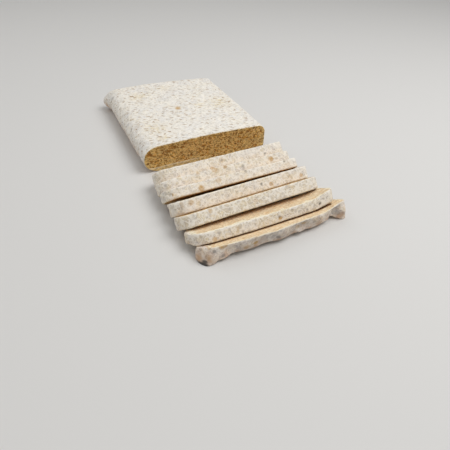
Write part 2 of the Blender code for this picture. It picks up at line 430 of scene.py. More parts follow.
def turned(tree, vector, angles):
    """A vector turned by these angles, in degrees."""
    node = tree.nodes.new("ShaderNodeVectorRotate")
    node.rotation_type = "EULER_XYZ"
    tree.links.new(vector, node.inputs["Vector"])
    node.inputs["Rotation"].default_value = [math.radians(angle) for angle in angles]
    return node.outputs[0]


def wandering(tree, place, size, amount):
    """A place pushed about by noise, so that shapes lose their regular outlines."""
    node = texture(tree, "Noise", place, size)
    push = vector_step(tree, "SUBTRACT", node.outputs["Color"], (0.5,) * 3)
    return vector_step(tree, "MULTIPLY_ADD", push, (amount,) * 3, place)


def streaks(tree, place, angles, width, length):
    """Threads of felt, all along one direction."""
    along = scaled(tree, turned(tree, place, angles), (width / length, 1.0, 1.0))
    return patches(tree, along, width, 0.55, 0.7, 1.0)


def fibres(tree, place, size, width):
    """Curling threads of felt, where a soft noise crosses its middle."""
    away = calc(tree, "ABSOLUTE", noise_at(tree, place, size, 1.0) - 0.5)
    return ramp(away, width, width * 0.3)


DASH_WIDTH = 1.4
DASHES = (                  # angle, length, and the chance values between which one shows
    (26, 5.2, 0.4, 0.85),
    (48, 4.6, 0.6, 0.95),
    (-30, 4.4, 0.75, 1.0),
)


def dashes_at(tree, place, angle, length, never, always):
    """Short dents between beans, some cells with one and some without."""
    along = scaled(tree, turned(tree, place, (0, 0, angle)), (DASH_WIDTH / length, 1.0, 1.0))
    return blobs(cells_at(tree, along, DASH_WIDTH * 1.6), 0, 0.38, 0.18, never, always)


def strongest(tree, mask, *others):
    """The highest of some masks."""
    for other in others:
        mask = calc(tree, "MAXIMUM", mask, other)
    return mask


FELT_WHITE = (0.98, 0.93, 0.84)
FELT_GREY = (0.46, 0.42, 0.42)
FELT_COOL = (0.84, 0.83, 0.83)
FELT_CREAM = (0.86, 0.73, 0.48)
BEAN_TAN = (0.66, 0.46, 0.25)
DASH_BROWN = (0.38, 0.24, 0.12)
SPECK_GREY = (0.09, 0.08, 0.07)
SMALL_BEAN_SPACING = 4.4
SPECK_SPACING = 4.0
TUFT_SIZE = 1.7
NAP_SIZE = 2.4
SMUDGE_SIZE = 3.4
CREAM_SMUDGE_SIZE = 4.2
BLOTCH_SIZE = 6.5
COOL_SIZE = 16.0
GREY_ZONE = 24.0            # grey smudges are stronger and weaker over this distance,
CREAM_ZONE = 30.0           # and cream ones over this


def rind_group():
    """Felted mould over soya beans: white, with beans showing tan and grey thin places."""
    tree, given, outgoing = new_tree(
        "felt rind", "ShaderNodeTree",
        {"Place": "Vector"}
        | floats("Beans", "Dashes", "Greyness", "Cream", "Threads", "Grain")
        | {"Felt": "Color"}, {"Color": "Color", "Height": "Float"})
    flat_place = given["Place"]
    beans, dashes, greyness, cream, threads = (
        given[name] for name in ("Beans", "Dashes", "Greyness", "Cream", "Threads"))
    place = wandering(tree, flat_place, 4.0, 2.2)
    fine_place = wandering(tree, flat_place, 2.0, 1.4)
    tuft = cells_at(tree, fine_place, TUFT_SIZE)[1][0]
    nap = patches(tree, fine_place, NAP_SIZE, 0.42, 0.62, 3.0, 0.7)
    shade = ramp(tuft, 0.25, 1.0) * 0.5 + nap * 0.5
    bean_cells = cells_at(tree, wandering(tree, flat_place, 4.0, 2.0), BEAN_SPACING)
    bean = blobs(bean_cells, 0, 0.42, 0.24, 0.6, 0.9)
    small_bean = blobs(cells_at(tree, place, SMALL_BEAN_SPACING), 1, 0.48, 0.25, 0.5, 1.0)
    speck = blobs(cells_at(tree, flat_place, SPECK_SPACING), 2, 0.2, 0.12, 0.76, 0.95)
    dash = strongest(tree, *(dashes_at(tree, place, *sizes) for sizes in DASHES))
    thread = strongest(tree, fibres(tree, place, 7.0, 0.06),
                       fibres(tree, turned(tree, place, (30, 60, 80)), 6.0, 0.055),
                       streaks(tree, place, (0, 25, 35), 1.4, 8.0))
    cool = patches(tree, turned(tree, flat_place, (0, 50, 30)), COOL_SIZE, 0.45, 0.6)
    smudge = patches(tree, place, SMUDGE_SIZE, 0.48, 0.62, 3.0, 0.65)
    blotch = patches(tree, turned(tree, place, (20, 10, 50)), BLOTCH_SIZE, 0.5, 0.62, 2.0,
                     0.6)
    cream_smudge = patches(tree, turned(tree, place, (40, 70, 20)), CREAM_SMUDGE_SIZE,
                           0.46, 0.6, 3.0, 0.65)
    grey_zone = ramp(noise_at(tree, flat_place, GREY_ZONE, 1.0), 0.3, 0.65, 0.5, 1.1)
    cream_zone = noise_at(tree, turned(tree, flat_place, (10, 0, 90)), CREAM_ZONE, 1.0)
    cream_zone = ramp(cream_zone, 0.35, 0.65, 0.35, 1.0)
    colour = layered(tree, given["Felt"], (
        (cool * 0.35, FELT_COOL),
        (cream_smudge * cream_zone * cream, FELT_CREAM),
        (smudge * grey_zone * greyness * 0.75, FELT_GREY),
        (blotch * greyness * 0.5, FELT_GREY),
        (small_bean * beans * 0.5, BEAN_TAN),
        (bean * beans, BEAN_TAN)))
    colour = layered(tree, shaded(tree, colour, 1.0 - shade * given["Grain"]), (
        (thread * threads, FELT_WHITE),
        (dash * dashes, DASH_BROWN),
        (speck * greyness * 0.35, SPECK_GREY)))
    height = thread * threads * 0.6 + bean * beans * 0.5 - dash * dashes * 1.3
    height = height - shade * 0.5 - smudge * greyness * 0.5
    feed(tree, outgoing.inputs["Color"], colour)
    feed(tree, outgoing.inputs["Height"], height)
    return tree


CHIP_SIZE = 2.6             # the height of a chopped bean, which lies flat and is longer
FLECK_SIZE = 1.7
GRIT_SIZE = 1.2
RIM_OLIVE = (0.42, 0.35, 0.11)


def crumb_group():
    """The inside: chopped beans lying flat, with threads of mould between them."""
    tree, given, outgoing = new_tree(
        "bean crumb", "ShaderNodeTree",
        {"Place": "Vector", "Depth": "Float", "Ground": "Color", "Dark": "Color",
         "Light": "Color", "Warm": "Color", "Contrast": "Float"},
        {"Color": "Color", "Height": "Float"})
    dark, light, contrast = (given[name] for name in ("Dark", "Light", "Contrast"))
    place = wandering(tree, given["Place"], 7.0, 5.0)

    def lying(flatness):
        return scaled(tree, place, (flatness, 1.0, 1.0))

    chip, chip_chances = cells_at(tree, lying(0.35), CHIP_SIZE)
    edges = texture(tree, "Voronoi", lying(0.35), CHIP_SIZE)
    edges.feature = "DISTANCE_TO_EDGE"
    gap = ramp(Number(tree, edges.outputs["Distance"]), 0.12, 0.04)
    flecks = cells_at(tree, lying(0.5), FLECK_SIZE)
    deep = blobs(flecks, 0, 0.65, 0.3, 0.68, 0.85)
    pale = blobs(flecks, 1, 0.55, 0.3, 0.62, 0.9)
    grit = cells_at(tree, wandering(tree, place, 1.5, 1.0), GRIT_SIZE)[1][0]
    streak = patches(tree, lying(0.3), 3.2, 0.47, 0.6, 2.0, 0.6)
    patch = patches(tree, lying(0.7), 7.0, 0.5, 0.66, 2.0, 0.6)
    thread = strongest(tree, streaks(tree, place, (0, 0, 0), 1.3, 9.0),
                       fibres(tree, lying(0.6), 3.0, 0.1))
    # Dark lines between the beans: real crevices, with painted shade in them.
    painted_crevice_shade = fibres(tree, turned(tree, place, (50, 20, 70)), 3.2, 0.12)
    near_rind = ramp(given["Depth"], 5.0, 1.5)
    colour = layered(tree, given["Ground"], (
        (patch * contrast * 0.35, dark),
        (ramp(chip_chances[0], 0.4, 1.0) * contrast * 0.35, dark),
        (ramp(chip_chances[2], 0.5, 1.0) * contrast * 0.5, light),
        (streak * contrast * 0.7, given["Warm"]),
        (near_rind * contrast * 0.3, RIM_OLIVE),
        (gap * contrast * 0.25, dark),
        (pale * contrast * 0.5, light),
        # painted shade in the crevices
        (painted_crevice_shade * contrast * 0.65, dark),
        (thread * contrast * 0.65, light),
        (deep * contrast * 0.5, dark)))
    colour = shaded(tree, colour, 1.0 - ramp(grit, 0.2, 1.0) * contrast * 0.25)
    height = pale * 0.4 - deep * 0.7 + chip_chances[1] * 0.4 - chip * 0.4 + thread * 0.4
    height = height - grit * 0.3 - painted_crevice_shade * 0.6
    feed(tree, outgoing.inputs["Color"], colour)
    feed(tree, outgoing.inputs["Height"], height)
    return tree


RIND = rind_group()
CRUMB = crumb_group()
# painted reflection: the brown board's bounce light on the foot, together with painted shade
PAINTED_BOARD_BOUNCE = (0.62, 0.42, 0.28)
BOARD_BOUNCE_REACH = (20.0, 1.0)   # painted board bounce and shade lie on the foot below the first level, fully at the second
BEAN_HULL = (0.60, 0.39, 0.18)
# painted shade: dark brown in the crevice under a leaning slice's front edge
SLICE_EDGE_SHADE_BROWN = (0.19, 0.08, 0.025)
# cream of the rind's edge on a cut, there partly a painted highlight, and of the line over the
# pale layer
RIM_CREAM = (0.95, 0.85, 0.62)
LAYER_PALE = (0.80, 0.64, 0.36)
LAYER_REACH = (10.0, -25.0)     # a paler layer of crumb shows from here to the left
RAGGED_SIZE = 1.8           # the rind's inner edge on a cut is ragged by this size,
WAVY_SIZE = 8.0             # and wavy by this
BOARD_BOUNCE_PATCH_SIZE = 7.0
BUMP_STRENGTH = 0.5
BUMP_DISTANCE = 0.5
RIND_ROUGHNESS = 0.9
CRUMB_ROUGHNESS = 0.62
SHINE = 0.3


def placed(tree, group, place, values):
    """A node group on the piece's own place, with its own values."""
    node = tree.nodes.new("ShaderNodeGroup")
    node.node_tree = group
    feed(tree, node.inputs["Place"], place)
    for name, value in values.items():
        feed(tree, node.inputs[name], value)
    return node


def mark_of(tree, name):
    """How strongly a mark that the mesh keeps shows here."""
    node = tree.nodes.new("ShaderNodeAttribute")
    node.attribute_name = name
    return Number(tree, node.outputs["Fac"])


def with_layer(tree, inside, place, across, level, height):
    """Crumb with a paler layer up to this height above the board, under a cream line."""
    above = level - height + (noise_at(tree, place, 12.0) - 0.5) * 3.0
    towards_left = ramp(across, *LAYER_REACH)
    line = ramp(calc(tree, "ABSOLUTE", above), 0.9, 0.3)
    return layered(tree, inside, (
        (ramp(above, 0.8, -0.8) * towards_left * 0.35, LAYER_PALE),
        (line * towards_left * 0.6, RIM_CREAM)))


def tempeh(name, rind, crumb, board_bounce=0.4, wavy=0.6, rim=0.8, layer=0.0):
    """One piece's material: rind outside, crumb on the cuts. The foot gets painted brown
    bounce light from the board and painted shade, this strong; the rind's rim on a cut is this
    wide and wavy, and a paler layer of crumb may lie this high above the board."""
    material = bpy.data.materials.new(name)
    material.use_nodes = True
    tree = material.node_tree
    shader = tree.nodes["Principled BSDF"]
    spot = tree.nodes.new("ShaderNodeTexCoord").outputs["Object"]
    place = scaled(tree, spot, (1 / MM,) * 3)
    across, _, level = parts_of(tree, place)
    depth, bean_mark, dark_spot_and_shade_mark, cream_mark, slice_edge_shade = (
        mark_of(tree, mark) for mark in ("depth", "bean", "spot", "cream", "slice_edge_shade"))

    ragged = depth + (noise_at(tree, place, RAGGED_SIZE) - 0.5) * 1.4 * ramp(depth, 0.0, 0.5)
    ragged = ragged - patches(tree, place, WAVY_SIZE, 0.42, 0.60) * wavy
    cut = ramp(ragged, rim, rim + 0.5)
    # Painted brown bounce light from the board and painted shade on the foot, in patches.
    foot = ramp(level, *BOARD_BOUNCE_REACH)
    foot = foot * limit(noise_at(tree, place, BOARD_BOUNCE_PATCH_SIZE) * 4.0 - 1.2, 0.2, 1.5)
    hull = bean_mark * (noise_at(tree, place, 2.5, 2.0, 0.6) * 2.4 - 0.2)

    outside = placed(tree, RIND, place, rind)
    # painted shade: more grey smudges on the foot
    feed(tree, outside.inputs["Greyness"], foot * 0.8 + rind["Greyness"])
    feed(tree, outside.inputs["Cream"], cream_mark * 0.7 + rind["Cream"])
    feed(tree, outside.inputs["Dashes"], cream_mark * 0.9 + rind["Dashes"])
    colour = layered(tree, outside.outputs["Color"], (
        (cream_mark * 0.2, FELT_CREAM),
        # painted board bounce and shade on the foot
        (limit(foot * board_bounce, 0.0, 1.0), PAINTED_BOARD_BOUNCE),
        (limit(hull, 0.0, 1.0), BEAN_HULL),
        # dark spots of mould, and on the heel's wall painted shade
        (dark_spot_and_shade_mark, SPECK_GREY),
        # the rind's cream edge on a cut: partly its own colour, partly a painted highlight
        # where the rounded edge catches light
        (ramp(depth, 0.0, 0.4) * 0.75, RIM_CREAM)))

    inside = placed(tree, CRUMB, place, crumb | {"Depth": depth})
    crumb_colour = inside.outputs["Color"]
    if layer:
        crumb_colour = with_layer(tree, crumb_colour, place, across, level, layer)
    # Painted shade: dark brown where the leaning slice's front edge lies over this cut.
    colour = layered(tree, colour, ((cut, crumb_colour), (slice_edge_shade, SLICE_EDGE_SHADE_BROWN)))
    feed(tree, shader.inputs["Base Color"], colour)

    height = Number(tree, outside.outputs["Height"]) + bean_mark * 0.8 - dark_spot_and_shade_mark
    height = height + cut * (Number(tree, inside.outputs["Height"]) - height)
    hollows = tree.nodes.new("ShaderNodeBump")
    hollows.inputs["Strength"].default_value = BUMP_STRENGTH
    hollows.inputs["Distance"].default_value = BUMP_DISTANCE * MM
    feed(tree, hollows.inputs["Height"], height)
    feed(tree, shader.inputs["Normal"], hollows.outputs[0])
    feed(tree, shader.inputs["Roughness"],
         ramp(cut, 0.0, 1.0, RIND_ROUGHNESS, CRUMB_ROUGHNESS))
    shader.inputs["Specular IOR Level"].default_value = SHINE
    return material


def make(name, steps, mesh=None):
    """Run Geometry Nodes trees in turn, on a mesh or on none, and keep the plain mesh."""
    mould = bpy.data.objects.new(name + "_mould", mesh or bpy.data.meshes.new(name))
    bpy.context.collection.objects.link(mould)
    for tree, values in steps:
        modifier = mould.modifiers.new(tree.name, "NODES")
        modifier.node_group = tree
        for item in tree.interface.items_tree:
            if item.in_out == "INPUT" and item.name in values:
                modifier[item.identifier] = values[item.name]
    bpy.context.view_layer.update()
    shaped = mould.evaluated_get(bpy.context.evaluated_depsgraph_get())
    plain = bpy.data.meshes.new_from_object(shaped)
    bpy.data.objects.remove(mould, do_unlink=True)
    plain.name = name
    plain.shade_smooth()
    piece = bpy.data.objects.new(name, plain)
    bpy.context.collection.objects.link(piece)
    return piece


def rows_of(data, field, width):
    """A field of a mesh's points, one row a point."""
    values = np.empty(len(data) * width)
    data.foreach_get(field, values)
    return values.reshape(-1, width)


def keep_mark(mesh, name, strengths):
    """Keep on the mesh how strongly a mark shows at each point."""
    mesh.attributes.new(name, "FLOAT", "POINT").data.foreach_set("value", strengths)


MARK_END = 1.25             # a mark fades out at this many times its radius,
MARK_FADES = {"bean": 0.6, "spot": 0.6, "cream": 1.2}   # over this many times its radius


def keep_marks(mesh, marks, reach=3.0, squeeze=1.0):
    """Single beans that show through the rind, dark spots and cream patches: along, through,
    radius, what it is and how strongly it shows. They lie within this reach of the top."""
    x, up, through = rows_of(mesh.attributes["own_place"].data, "vector", 3).T
    on_top = up > up.max() - reach
    shown = {kind: np.zeros(len(x)) for kind in MARK_FADES}
    for along, deep, radius, kind, strength in marks:
        away = np.hypot(x - along, through * squeeze - deep) / radius
        share = np.clip((MARK_END - away) / MARK_FADES[kind], 0.0, 1.0)
        mask = strength * share * share * (3.0 - 2.0 * share) * on_top
        shown[kind] = np.maximum(shown[kind], mask)
    for kind, strengths in shown.items():
        keep_mark(mesh, kind, strengths)


def stand_in_for(piece, node):
    """The piece takes the CAD solid's place and its body."""
    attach(piece, "root")
    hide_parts(node)


BLOCK_RIND = {"Beans": 0.15, "Dashes": 0.75, "Greyness": 0.12, "Cream": 0.3, "Threads": 0.3,
              "Grain": 0.27, "Felt": (0.965, 0.92, 0.835)}
# The block's crumb is darker and more saturated than the pale copy on the slices: partly
# painted shade of its cut face.
BLOCK_CRUMB = {"Ground": (0.77, 0.395, 0.07), "Dark": (0.17, 0.065, 0.008),
               "Light": (1.0, 0.70, 0.27), "Warm": (0.58, 0.24, 0.05), "Contrast": 1.0}
BLOCK_MARKS = [             # across the cake, behind the cut, radius
    (-4.2, 68, 3.2, "bean", 0.9), (-3.2, 71, 2.8, "bean", 0.7),
    (-3.5, 69.5, 6, "cream", 0.8), (48, 66, 17, "cream", 1.0), (24, 68, 8, "cream", 0.7),
    (-35, 118, 15, "cream", 0.9), (5, 128, 11, "cream", 0.9), (-42, 34, 16, "cream", 1.0),
    (-43, 12, 8, "cream", 0.9), (-60, 138.5, 2.6, "spot", 0.4),
    (-63, 138.5, 2.4, "spot", 0.3),
]
SKIN_TREE = skin_tree()
block_low, block_high = (corner / MM for corner in map(Vector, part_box("block")))
block_material = tempeh("block_tempeh", BLOCK_RIND, BLOCK_CRUMB, board_bounce=1.0, wavy=0.3,
                        rim=0.15, layer=5.0)
block = make("block_of_tempeh", [
    (block_tree(), {"Width": BLOCK_WIDTH, "Height": CAKE_HEIGHT,
                    "Left Length": BLOCK_LENGTH_LEFT, "Right Length": BLOCK_LENGTH_RIGHT,
                    "Place X": block_high.x - BLOCK_WIDTH / 2 - RIGHT_FLARE,
                    "Place Y": block_low.y + CUT_SKEW / 2,
                    "Spacing": BLOCK_SPACING, "Material": block_material}),
    (SKIN_TREE, {"Swell": 0.7, "Bean Rise": 0.3, "Fuzz": 0.25, "Crumb Depth": 0.35,
                 "End Lumps": 1.4, "Material": block_material})])
keep_marks(block.data, BLOCK_MARKS, reach=15.0)
stand_in_for(block, "block")

# ----------------------------------------------------------
# The slices: six cuts of the same cake, each about as thick as a finger, fallen forward one
# on another like books. Rind runs round their rim, and both broad faces are cut.

SLICES = {                  # thickness, height, width, tilt, turn, sag, curl
    "slice_1": (11.6, 29.6, 139.0, 46.0, -0.3, 0.0, 0.0),
    "slice_2": (9.6, 29.6, 139.5, 46.0, -0.7, 0.0, 0.0),
    "slice_3": (9.0, 29.6, 140.5, 46.0, -1.1, 0.0, 0.0),
    "slice_4": (11.6, 29.6, 140.5, 40.0, 0.0, 0.0, 0.0),
    "slice_5": (11.0, 29.6, 140.0, 39.5, 0.2, 0.0, 0.0),
    "slice_6": (9.6, 27.5, 140.8, 28.0, -1.5, 1.8, 3.6),
}
SLICE_SPACING = 0.85
TURN_REACH = 56.0           # the underside reaches this far from the middle
CURL_REACH = (45.0, 72.0)   # slice_6's right end curls up between these, off the board,
CURL_THICKER = 0.075        # and is thicker by this share for each millimetre of curl
CURL_LEAST = 0.15           # this share of the curl lifts its lower edge too


def slice_tree():
    """One slice: a slab of the cake's cross-section, leaning forward on its lower edge."""
    tree, given, outgoing = new_tree(
        "slice of tempeh", "GeometryNodeTree",
        floats("Thickness", "Height", "Width", "Tilt", "Turn", "Sag", "Curl", "Place X",
               "Foot Y", "Ease", "Left Rim", "Spacing") | {"Material": "Material"},
        {"Geometry": "Geometry"})
    thickness, height, width = (given[name] for name in ("Thickness", "Height", "Width"))
    mesh, u, v, w = cube_of_points(
        tree, [size / given["Spacing"] + 1.0 for size in (width, height, thickness)])
    at_cut = calc(tree, "GREATER_THAN", calc(tree, "ABSOLUTE", w - 0.5), 0.499)
    half = width / 2.0
    ease = at_cut * given["Ease"]
    x, up = section_place(u, v, ease - half, half - ease, height - ease)
    through = w * thickness
    mesh = keep_value(tree, mesh, "own_place", "FLOAT_VECTOR", joined(tree, x, up, through))
    from_top = (1.0 - calc(tree, "ABSOLUTE", v)) * height / 2.0
    from_side = (1.0 - calc(tree, "ABSOLUTE", u)) * half
    from_side = calc(tree, "MINIMUM", from_side, x + half - given["Left Rim"])
    mesh = keep_value(tree, mesh, "depth", "FLOAT",
                      calc(tree, "MINIMUM", from_top, from_side))
    tilt, turn = (calc(tree, "RADIANS", given[name]) for name in ("Tilt", "Turn"))
    sine, cosine = calc(tree, "SINE", tilt), calc(tree, "COSINE", tilt)
    curled = ramp(x, *CURL_REACH) * given["Curl"]
    through = through * (curled * CURL_THICKER + 1.0)
    across = x / half
    hanging = (1.0 - limit(across * across, 0.0, 1.0)) * given["Sag"] * up / height
    rising = curled * (up / height * (1.0 - CURL_LEAST) + CURL_LEAST)
    y = through * sine - up * cosine
    z = up * sine + through * cosine - hanging + rising
    sine, cosine = calc(tree, "SINE", turn), calc(tree, "COSINE", turn)
    place = joined(tree, (x * cosine - y * sine + given["Place X"]) * MM,
                   (x * sine + y * cosine + given["Foot Y"]) * MM, z * MM)
    mesh = set_places(tree, mesh, Position=place)
    end_tree(tree, mesh, given["Material"], outgoing)
    return tree


def foot_of(name):
    """Where the slice's lower front edge stands, from its solid's box."""
    thickness, _, _, tilt, turn, _, _ = SLICES[name]
    low, high = (Vector(corner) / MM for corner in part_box(name))
    swing = TURN_REACH * abs(math.sin(math.radians(turn)))
    return (low.x + high.x) / 2, high.y - thickness * math.sin(math.radians(tilt)) - swing


# The slices' felt is darker than the block's, and slice_5's and slice_6's darker still: partly
# painted shade, as less light falls towards the front.
SLICE_FELT = (0.92, 0.83, 0.68)
SHADED_FRONT_FELT = (0.81, 0.705, 0.54)
SLICE_RIND = {"Beans": 0.3, "Dashes": 0.15, "Greyness": 0.42, "Cream": 0.55, "Threads": 0.6,
              "Grain": 0.22}
# The slices' crumb in two copies: a darker, warmer one on cut faces in the gaps between
# slices, and a paler one on the cut faces of slice_6 and the heel, which look up at the lamp.
# Partly their own colour, partly painted shade and painted light.
SHADED_SLICE_CRUMB = {"Ground": (0.74, 0.42, 0.14), "Dark": (0.26, 0.10, 0.02),
               "Light": (0.92, 0.66, 0.32), "Warm": (0.66, 0.28, 0.07), "Contrast": 0.9}
LIT_PALE_CRUMB = {"Ground": (1.0, 0.78, 0.49), "Dark": (0.48, 0.27, 0.12),
              "Light": (1.0, 0.91, 0.72), "Warm": (0.98, 0.62, 0.30), "Contrast": 0.45}
LOOKS = {                   # felt, crumb, rim's waves, fuller by, eased edge, left rim
    "slice_1": (SLICE_FELT, SHADED_SLICE_CRUMB, 0.5, 0.12, 0.3, 0.0),
    "slice_2": (SLICE_FELT, SHADED_SLICE_CRUMB, 0.5, 0.12, 0.3, 0.0),
    "slice_3": (SLICE_FELT, SHADED_SLICE_CRUMB, 0.5, 0.12, 0.3, 0.0),
    "slice_4": (SLICE_FELT, SHADED_SLICE_CRUMB, 0.5, 0.0, 0.6, 0.0),
    "slice_5": (SHADED_FRONT_FELT, SHADED_SLICE_CRUMB, 0.5, 0.0, 0.6, 0.0),
    "slice_6": (SHADED_FRONT_FELT, LIT_PALE_CRUMB, 4.0, 0.0, 0.6, 3.5),
}
MARKS = {                   # across the cake, behind the slice's front, radius
    "slice_1": [(-15, 0.5, 3.2, "bean", 0.5), (-3, 7, 1.3, "spot", 0.45),
                (-3, 7, 3.0, "bean", 0.35), (45, 3, 1.1, "spot", 0.5)],
    "slice_2": [(-15, 9, 3.4, "bean", 0.55), (46, 5, 2.7, "bean", 0.95),
                (-4, 8.7, 2.2, "bean", 0.7), (-4, 8.7, 1.0, "spot", 0.3),
                (14, 5, 1.6, "spot", 0.4), (-32, 9.6, 2.6, "bean", 0.4)],
    "slice_3": [(-36, 2.6, 2.9, "bean", 0.9), (11, 8.6, 1.3, "spot", 0.4),
                (-18, 6, 2.6, "bean", 0.5), (-63, 4, 1.5, "bean", 0.9),
                (-63, 4, 0.9, "spot", 0.4), (54, 8, 1.1, "spot", 0.6)],
    "slice_4": [(-54, 8, 2.5, "bean", 0.55), (16, 6.4, 1.3, "spot", 0.65),
                (26, 4, 2.1, "bean", 0.75), (26, 4, 0.9, "spot", 0.4),
                (60, 4, 2.0, "bean", 0.7), (-65, 6, 3.6, "spot", 0.3),
                (-63, 8, 3.0, "bean", 0.35)],
    "slice_5": [(-43, 9, 2.0, "bean", 0.6), (0, 6, 2.4, "bean", 0.35)],
    "slice_6": [(12, 3.6, 1.9, "bean", 1.0), (11.4, 5, 1.3, "spot", 0.5),
                (54, 4, 1.2, "spot", 0.8), (25, 7.5, 1.7, "spot", 0.25),
                (32, 4.2, 1.5, "spot", 0.3), (40, 2.6, 1.5, "spot", 0.3),
                (-51, 2.4, 2.2, "bean", 0.6)],
}
SLICE_TREE = slice_tree()
slices = []
for name, (thickness, height, width, tilt, turn, sag, curl) in SLICES.items():
    felt, crumb, wavy, fuller, ease, left_rim = LOOKS[name]
    place_x, foot_y = foot_of(name)
    material = tempeh(name + "_tempeh", SLICE_RIND | {"Felt": felt}, crumb, wavy=wavy)
    piece = make(name + "_of_tempeh", [
        (SLICE_TREE, {"Thickness": thickness + fuller, "Height": height, "Width": width,
                      "Tilt": tilt, "Turn": turn, "Sag": sag, "Curl": curl,
                      "Place X": place_x, "Foot Y": foot_y, "Ease": ease,
                      "Left Rim": left_rim, "Spacing": SLICE_SPACING,
                      "Material": material}),
        (SKIN_TREE, {"Swell": 0.5, "Bean Rise": 0.25, "Fuzz": 0.25, "Crumb Depth": 0.22,
                     "End Lumps": 1.7, "Material": material})])
    keep_marks(piece.data, MARKS[name])
    stand_in_for(piece, name)
    slices.append(piece)

# ----------------------------------------------------------
# The heel: the moulded front end of the cake, lying face up at the front. Its rind is thick
# and puckered where the bag was folded, and it stands hollow off the board in the middle.

HEEL_WIDTH = 146.0
HEEL_DEPTH = 28.0           # across its cut face
HEEL_SHIFT = 3.1            # its middle lies this much further right than slice_6's,
HEEL_GAP = 0.8              # and it lies this much below slice_6
HEEL_REACH = 15.7           # how far its cut face comes out in front of slice_6
HEEL_BOW = 8.3              # the cut face's ends stay this much behind its middle
HEEL_SPACING = 0.9
EDGE_DENTS = (              # along the cut's front edge, reach, how deep
    (22, 20.0, 3.0),
    (-18, 22.0, 1.0),
    (60, 12.0, 1.0),
)
HEEL_ARCH = 4.2             # in its middle the foot stands this high above the board,
HEEL_TUCK = 1.0             # and this much further in than the cut
LEFT_SPREAD = 8.3           # at its ends the foot comes this much further out
RIGHT_SPREAD = 3.5
LEFT_CORNER = (0.57, 1.0)   # the end's fuller foot begins and is full this far out
RIGHT_CORNER = (0.74, 0.96)
HEEL_LEAN = 2.8             # the foot lies this much further right than the cut,
HEEL_FLARE = 1.5            # and its ends this much further out
TUCK_POWER = 1.5            # the wall bends most near the board
LEFT_END = (52.0, 73.0)     # the rounding of each end begins and is full this far out
RIGHT_END = (50.0, 73.0)
LEFT_TUCK = 3.6             # at the cut its left end is this much shorter than on the board
RIGHT_PUSH = 2.0            # and its right end this much longer
RIGHT_BACK = 2.2            # its right end lies this much further back
WAVE_LENGTH = 36.0          # the bag's pleats left long waves in the wall,
WAVE_START = -33.0          # from here,
WAVE_DEPTH = 0.9            # this deep in the arch's edge and in the wall,
RIPPLE_DEPTH = 0.5          # with a finer ripple on them
RIPPLE_LENGTH = 6.5
WALL_STEPS = 26.0           # the slab's thickness, which becomes the wall,
WALL_HEIGHT = 16.0          # about this high
LUMPS = (                   # along, level from cut to board, radius, how far it stands out
    (-70, 0.35, 6.0, 1.2), (-60, 0.45, 6.0, 1.0), (-60, 1.05, 4.5, -3.0), (-50, 1.0, 5.0, 0.6),
    (-66, 0.75, 3.5, -0.8), (-46, 0.5, 6.0, -0.8), (20, 1.0, 4.5, 2.6), (30, 1.0, 6.0, 1.6),
    (68, 0.5, 3.5, 2.6),
)
FOLD_PLACE = 55.0           # the bag was folded in here, and its fold left a step
FOLD_SLOPE = -5.0
FOLD_HALF_WIDTH = 0.8
FOLD_DEPTH = 3.2
FOLD_END = (57.0, 70.0)     # behind the step the wall comes out again between these


def eased(values, start, end):
    """0 before the start, 1 after the end, and a smooth rise between them."""
    share = np.clip((values - start) / (end - start), 0.0, 1.0)
    return share * share * (3.0 - 2.0 * share)


